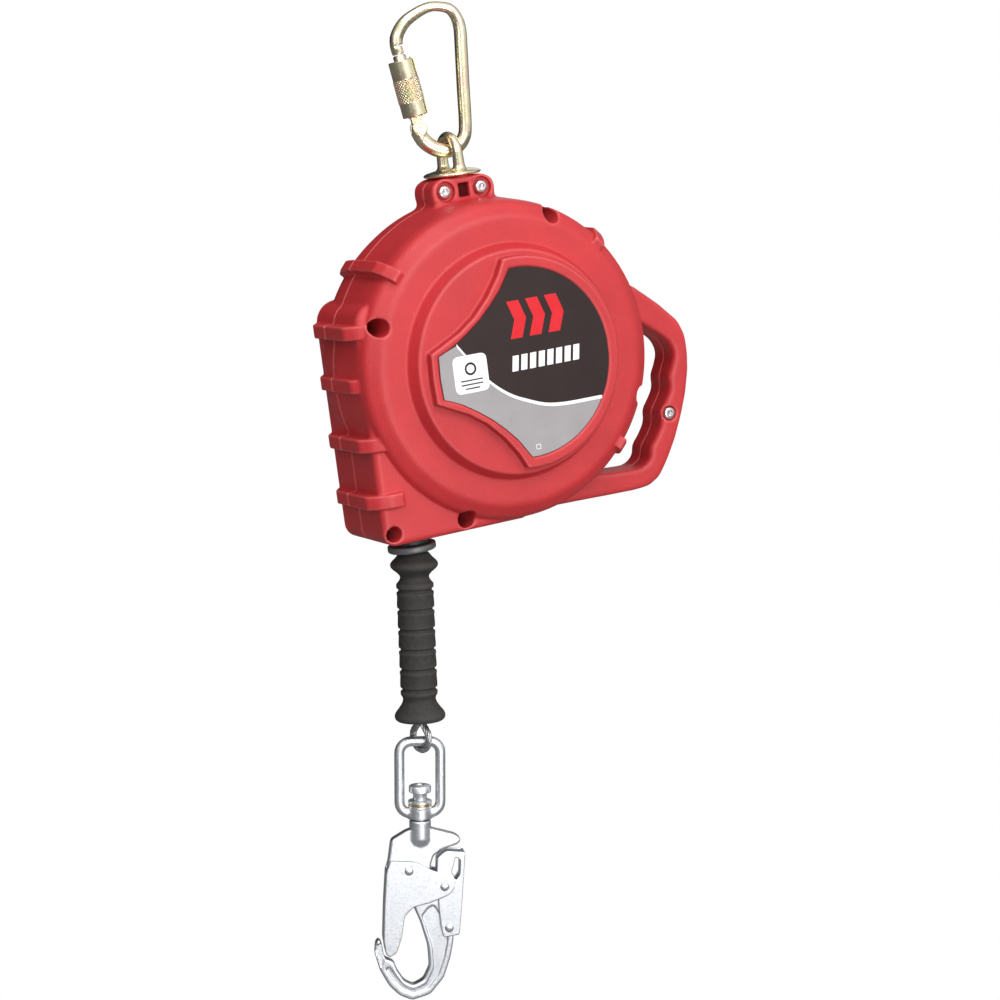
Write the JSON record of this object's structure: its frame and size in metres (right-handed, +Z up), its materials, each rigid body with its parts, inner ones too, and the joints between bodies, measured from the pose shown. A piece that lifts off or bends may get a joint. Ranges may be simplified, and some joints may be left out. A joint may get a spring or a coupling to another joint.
{
  "type": "self retracting lifeline",
  "caption": "Wire-rope self retracting lifeline: red moulded drum housing with carry handle, anchor carabiner and swivel eye above, rubber grip and swivel snap hook below.",
  "frame": {"origin": "inside of the carabiner crown, the point the object hangs from", "axes": "+Z up (against gravity as it hangs), -Y the label face of the housing, +X towards the carry handle"},
  "size_m": [0.308, 0.113, 0.7682],
  "materials": {
    "red": "moulded, fine grain",
    "label": "printed film",
    "screw_steel": "zinc plated",
    "frame_steel": "zinc plated",
    "brass": "turned",
    "aluminium": "cast and turned",
    "rope": "galvanised wire rope",
    "dark_steel": "dark satin",
    "black_plastic": "moulded",
    "rubber": "moulded",
    "gold": "yellow zinc plated, iridescent",
    "forged_zinc": "forged, granular zinc plate"
  },
  "bodies": {
    "carabiner": {"carabiner_body": "gold", "gate_pin": "gold"},
    "carabiner_gate_arm": {"carabiner_gate": "gold"},
    "lock_sleeve": {"carabiner_sleeve": "gold"},
    "eye": {"swivel_eye": "gold", "swivel_nut": "frame_steel", "thrust_washer": "brass"},
    "housing": {"front_shell": "red", "rear_shell": "red", "front_label": "label", "shell_screw_1": "screw_steel", "shell_screw_2": "screw_steel", "shell_screw_3": "screw_steel", "shell_screw_4": "screw_steel", "shell_screw_5": "screw_steel", "handle_screw": "screw_steel", "lug_screw_left": "screw_steel", "lug_screw_right": "screw_steel", "frame_plate_front": "frame_steel", "frame_plate_rear": "frame_steel", "swivel_block": "dark_steel", "shaft_bush_front": "brass", "shaft_bush_rear": "brass", "spring_cup": "dark_steel", "power_spring": "dark_steel", "ratchet_ring": "dark_steel", "cable_guide": "black_plastic", "cable_collar": "dark_steel"},
    "spool": {"main_shaft": "frame_steel", "drum": "aluminium", "cable_winding": "rope", "spring_arbor": "frame_steel", "brake_hub": "frame_steel"},
    "pawl_1": {"brake_pawl_1": "dark_steel"},
    "pawl_2": {"brake_pawl_2": "dark_steel"},
    "lifeline": {"cable_run": "rope", "grip": "rubber", "cable_loop": "rope", "ferrule": "aluminium"},
    "ring": {"swivel_ring": "forged_zinc"},
    "hook": {"hook_body": "forged_zinc", "swivel_pin": "forged_zinc", "indicator_washer": "brass", "gate_rivet": "forged_zinc", "lever_rivet": "forged_zinc"},
    "gate": {"hook_gate": "forged_zinc", "gate_tail_rivet": "forged_zinc"},
    "lever": {"lock_lever": "forged_zinc"}
  },
  "joints": [
    {"name": "carabiner_gate_hinge", "type": "hinge", "parent": "carabiner", "child": "carabiner_gate_arm", "pos_m": [-0.01585, 0.00337, -0.0865], "axis": [0.2079, 0.9781, 0], "range_deg": [0, 25], "stiffness_Nm_per_rad": 0.3, "springref_deg": -28.65},
    {"name": "sleeve_twist", "type": "hinge", "parent": "carabiner_gate_arm", "child": "lock_sleeve", "pos_m": [-0.01585, 0.00337, -0.0865], "axis": [-0.2641, 0.0561, 0.9629], "range_deg": [0, 90], "stiffness_Nm_per_rad": 0.03, "springref_deg": -28.65},
    {"name": "eye_swing", "type": "hinge", "parent": "carabiner", "child": "eye", "pos_m": [0.00636, -0.00135, -0.1033], "axis": [0.9781, -0.2079, 0], "range_deg": [-40, 55]},
    {"name": "housing_swivel", "type": "hinge", "parent": "eye", "child": "housing", "pos_m": [0.00853, -0.0014, -0.11266], "axis": [-0.1421, 0, 0.9899], "continuous": true},
    {"name": "line_payout", "type": "slide", "parent": "housing", "child": "lifeline", "axis": [0.0396, 0, -0.9992], "range_m": [0, 0.12], "stiffness_N_per_m": 20, "springref_m": -1},
    {"name": "drum_spin", "type": "hinge", "parent": "housing", "child": "spool", "pos_m": [0.0343, -0.0014, -0.2605], "axis": [0, -1, 0], "range_deg": [0, 115]},
    {"name": "pawl_1_swing", "type": "hinge", "parent": "spool", "child": "pawl_1", "pos_m": [0.07043, -0.0564, -0.25531], "axis": [0, 1, 0], "range_deg": [0, 18], "stiffness_Nm_per_rad": 0.02, "springref_deg": -28.65},
    {"name": "pawl_2_swing", "type": "hinge", "parent": "spool", "child": "pawl_2", "pos_m": [-0.00183, -0.0564, -0.26569], "axis": [0, 1, 0], "range_deg": [0, 18], "stiffness_Nm_per_rad": 0.02, "springref_deg": -28.65},
    {"name": "ring_swing", "type": "hinge", "parent": "lifeline", "child": "ring", "pos_m": [-0.0191, -0.0014, -0.5546], "axis": [0.9397, -0.342, 0], "range_deg": [-60, 60]},
    {"name": "hook_swivel", "type": "hinge", "parent": "ring", "child": "hook", "pos_m": [-0.0191, -0.0014, -0.6114], "axis": [0, 0, 1], "continuous": true},
    {"name": "hook_gate_hinge", "type": "hinge", "parent": "hook", "child": "gate", "pos_m": [-0.02803, 0.00185, -0.6547], "axis": [-0.342, -0.9397, 0], "range_deg": [0, 15], "stiffness_Nm_per_rad": 0.4, "springref_deg": -28.65},
    {"name": "lock_lever_hinge", "type": "hinge", "parent": "hook", "child": "lever", "pos_m": [0.00148, -0.00889, -0.7012], "axis": [-0.342, -0.9397, 0], "range_deg": [0, 6], "stiffness_Nm_per_rad": 0.4, "springref_deg": -28.65}
  ],
  "couplings": [
    {"joint": "drum_spin", "follows": "line_payout", "rad_per_m": 15.657}
  ]
}
